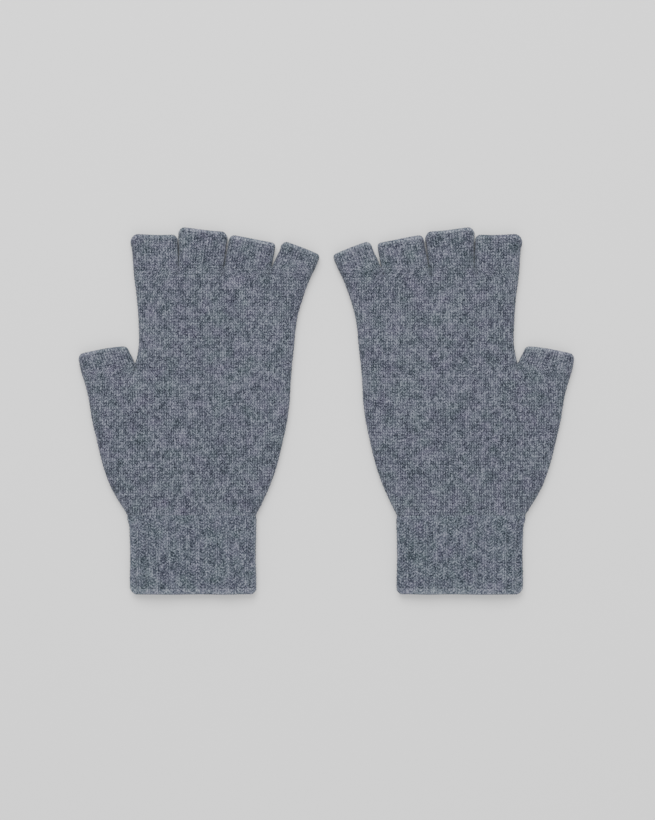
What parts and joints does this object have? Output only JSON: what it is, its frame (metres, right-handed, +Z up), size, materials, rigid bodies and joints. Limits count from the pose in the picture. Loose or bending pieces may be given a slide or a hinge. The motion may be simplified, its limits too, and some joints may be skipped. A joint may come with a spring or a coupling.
{
  "type": "fingerless gloves",
  "caption": "Knitted fingerless gloves, a mirrored pair lying flat, with ribbed cuffs and short open tubes for thumb and fingers.",
  "frame": {"origin": "on the table, under the middle of the pair's box", "axes": "+Z up from the table, +Y from the cuffs to the fingers, +X from the left glove to the right one"},
  "size_m": [0.2704, 0.1996, 0.0084],
  "materials": {
    "plain_knit": "matte",
    "rib_knit": "matte",
    "edge_knit": "matte",
    "crotch_stitches": "matte"
  },
  "bodies": {
    "left_hand": {"left_lower_hand": "plain_knit", "left_upper_hand": "plain_knit", "left_thumb_crotch": "crotch_stitches", "left_index_middle_crotch": "crotch_stitches", "left_middle_ring_crotch": "crotch_stitches", "left_ring_little_crotch": "crotch_stitches"},
    "left_cuff": {"left_cuff": "rib_knit", "left_cuff_edge": "edge_knit"},
    "left_thumb": {"left_thumb": "plain_knit", "left_thumb_edge": "edge_knit"},
    "left_index": {"left_index_finger": "plain_knit", "left_index_edge": "edge_knit"},
    "left_middle": {"left_middle_finger": "plain_knit", "left_middle_edge": "edge_knit"},
    "left_ring": {"left_ring_finger": "plain_knit", "left_ring_edge": "edge_knit"},
    "left_little": {"left_little_finger": "plain_knit", "left_little_edge": "edge_knit"},
    "right_hand": {"right_lower_hand": "plain_knit", "right_upper_hand": "plain_knit", "right_thumb_crotch": "crotch_stitches", "right_index_middle_crotch": "crotch_stitches", "right_middle_ring_crotch": "crotch_stitches", "right_ring_little_crotch": "crotch_stitches"},
    "right_cuff": {"right_cuff": "rib_knit", "right_cuff_edge": "edge_knit"},
    "right_thumb": {"right_thumb": "plain_knit", "right_thumb_edge": "edge_knit"},
    "right_index": {"right_index_finger": "plain_knit", "right_index_edge": "edge_knit"},
    "right_middle": {"right_middle_finger": "plain_knit", "right_middle_edge": "edge_knit"},
    "right_ring": {"right_ring_finger": "plain_knit", "right_ring_edge": "edge_knit"},
    "right_little": {"right_little_finger": "plain_knit", "right_little_edge": "edge_knit"}
  },
  "joints": [
    {"name": "left_cuff_bend", "type": "hinge", "parent": "left_hand", "child": "left_cuff", "pos_m": [-0.07243, -0.05682, 0.0084], "axis": [-1, 0, 0], "range_deg": [0, 75]},
    {"name": "left_thumb_bend", "type": "hinge", "parent": "left_hand", "child": "left_thumb", "pos_m": [-0.11889, 0.02315, 0.0084], "axis": [0.9833, 0.1822, 0], "range_deg": [0, 60]},
    {"name": "left_index_bend", "type": "hinge", "parent": "left_hand", "child": "left_index", "pos_m": [-0.09295, 0.07738, 0.0084], "axis": [1, 0, 0], "range_deg": [0, 80]},
    {"name": "left_middle_bend", "type": "hinge", "parent": "left_hand", "child": "left_middle", "pos_m": [-0.06833, 0.07738, 0.0084], "axis": [1, 0, 0], "range_deg": [0, 80]},
    {"name": "left_ring_bend", "type": "hinge", "parent": "left_hand", "child": "left_ring", "pos_m": [-0.04308, 0.07738, 0.0084], "axis": [1, 0, 0], "range_deg": [0, 80]},
    {"name": "left_little_bend", "type": "hinge", "parent": "left_hand", "child": "left_little", "pos_m": [-0.018, 0.07738, 0.0084], "axis": [1, 0, 0], "range_deg": [0, 80]},
    {"name": "right_glove_lift", "type": "slide", "parent": "left_hand", "child": "right_hand", "axis": [0, 0, 1], "range_m": [0, 0.06]},
    {"name": "right_cuff_bend", "type": "hinge", "parent": "right_hand", "child": "right_cuff", "pos_m": [0.07243, -0.05682, 0.0084], "axis": [-1, 0, 0], "range_deg": [0, 75]},
    {"name": "right_thumb_bend", "type": "hinge", "parent": "right_hand", "child": "right_thumb", "pos_m": [0.11889, 0.02315, 0.0084], "axis": [0.9833, -0.1822, 0], "range_deg": [0, 60]},
    {"name": "right_index_bend", "type": "hinge", "parent": "right_hand", "child": "right_index", "pos_m": [0.09295, 0.07738, 0.0084], "axis": [1, 0, 0], "range_deg": [0, 80]},
    {"name": "right_middle_bend", "type": "hinge", "parent": "right_hand", "child": "right_middle", "pos_m": [0.06833, 0.07738, 0.0084], "axis": [1, 0, 0], "range_deg": [0, 80]},
    {"name": "right_ring_bend", "type": "hinge", "parent": "right_hand", "child": "right_ring", "pos_m": [0.04308, 0.07738, 0.0084], "axis": [1, 0, 0], "range_deg": [0, 80]},
    {"name": "right_little_bend", "type": "hinge", "parent": "right_hand", "child": "right_little", "pos_m": [0.018, 0.07738, 0.0084], "axis": [1, 0, 0], "range_deg": [0, 80]}
  ]
}
